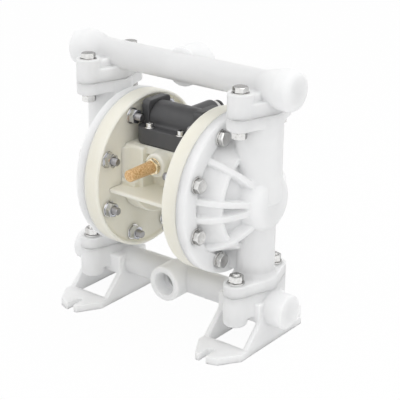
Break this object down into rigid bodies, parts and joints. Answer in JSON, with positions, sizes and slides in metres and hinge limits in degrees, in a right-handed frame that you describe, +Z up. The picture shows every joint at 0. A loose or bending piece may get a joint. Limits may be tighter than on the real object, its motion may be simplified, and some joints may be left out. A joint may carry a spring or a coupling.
{
  "type": "process.pump.diaphragm.air_operated",
  "caption": "Air-operated double diaphragm pump in plastic: ribbed outer chambers, centre air valve, ball valves in tubular manifolds, hollow forked feet.",
  "frame": {"origin": "middle of the pump on the floor that the feet stand on", "axes": "+X along the manifolds to the viewer's right, +Y to the rear where the discharge port and the air inlet face, +Z up"},
  "size_m": [0.271, 0.163, 0.281],
  "materials": {
    "milky_plastic": "satin",
    "ivory_plastic": "satin",
    "dark_plastic": "satin",
    "black_plastic": "satin",
    "steel": "satin",
    "brass": "satin",
    "sintered_bronze": "matte",
    "diaphragm_rubber": "satin",
    "seal_rubber": "matte",
    "ball_ptfe": "satin",
    "seat_plastic": "satin"
  },
  "bodies": {
    "pump": {"outer_chamber_left": "milky_plastic", "outer_chamber_right": "milky_plastic", "air_chamber_left": "ivory_plastic", "air_chamber_right": "ivory_plastic", "centre_block": "ivory_plastic", "diaphragm_left": "diaphragm_rubber", "diaphragm_right": "diaphragm_rubber", "shaft_bushes": "brass", "shaft_seals": "seal_rubber", "pilot_seals": "seal_rubber", "valve_body": "dark_plastic", "valve_cap_left": "dark_plastic", "valve_cap_right": "dark_plastic", "valve_cap_screws": "steel", "valve_sleeve": "brass", "valve_gasket": "seal_rubber", "valve_screws": "steel", "valve_washers": "steel", "air_fitting": "steel", "fitting_collar": "black_plastic", "silencer_body": "sintered_bronze", "silencer_collar": "brass", "top_manifold": "milky_plastic", "bottom_manifold": "milky_plastic", "port_o_rings": "seal_rubber", "inlet_seat_left": "seat_plastic", "inlet_seat_right": "seat_plastic", "outlet_seat_left": "seat_plastic", "outlet_seat_right": "seat_plastic", "inlet_cage_left": "seat_plastic", "inlet_cage_right": "seat_plastic", "outlet_cage_left": "seat_plastic", "outlet_cage_right": "seat_plastic", "chamber_bolts_left": "steel", "chamber_bolts_right": "steel", "chamber_washers_left": "steel", "chamber_washers_right": "steel", "chamber_nuts_left": "steel", "chamber_nuts_right": "steel", "top_bolts": "steel", "top_washers": "steel", "top_nuts": "steel", "bottom_bolts": "steel", "bottom_washers": "steel", "bottom_nuts": "steel"},
    "shaft": {"diaphragm_shaft": "steel", "inner_plate_left": "steel", "inner_plate_right": "steel", "outer_plate_left": "seat_plastic", "outer_plate_right": "seat_plastic"},
    "pilot": {"pilot_rod": "steel"},
    "spool": {"valve_spool": "steel", "spool_seals": "seal_rubber"},
    "inlet_ball_l": {"inlet_ball_left": "ball_ptfe"},
    "inlet_ball_r": {"inlet_ball_right": "ball_ptfe"},
    "outlet_ball_l": {"outlet_ball_left": "ball_ptfe"},
    "outlet_ball_r": {"outlet_ball_right": "ball_ptfe"}
  },
  "joints": [
    {"name": "shaft_slide", "type": "slide", "parent": "pump", "child": "shaft", "axis": [1, 0, 0], "range_m": [-0.006, 0.006], "deforming": ["diaphragm_left", "diaphragm_right"]},
    {"name": "pilot_slide", "type": "slide", "parent": "pump", "child": "pilot", "axis": [1, 0, 0], "range_m": [-0.003, 0.003]},
    {"name": "spool_slide", "type": "slide", "parent": "pump", "child": "spool", "axis": [1, 0, 0], "range_m": [-0.005, 0.005]},
    {"name": "inlet_lift_left", "type": "slide", "parent": "pump", "child": "inlet_ball_l", "axis": [0, 0, 1], "range_m": [0, 0.005]},
    {"name": "inlet_lift_right", "type": "slide", "parent": "pump", "child": "inlet_ball_r", "axis": [0, 0, 1], "range_m": [0, 0.005]},
    {"name": "outlet_lift_left", "type": "slide", "parent": "pump", "child": "outlet_ball_l", "axis": [0, 0, 1], "range_m": [0, 0.005]},
    {"name": "outlet_lift_right", "type": "slide", "parent": "pump", "child": "outlet_ball_r", "axis": [0, 0, 1], "range_m": [0, 0.005]}
  ],
  "couplings": [
    {"joint": "pilot_slide", "follows": "shaft_slide", "ratio": 0.5}
  ]
}
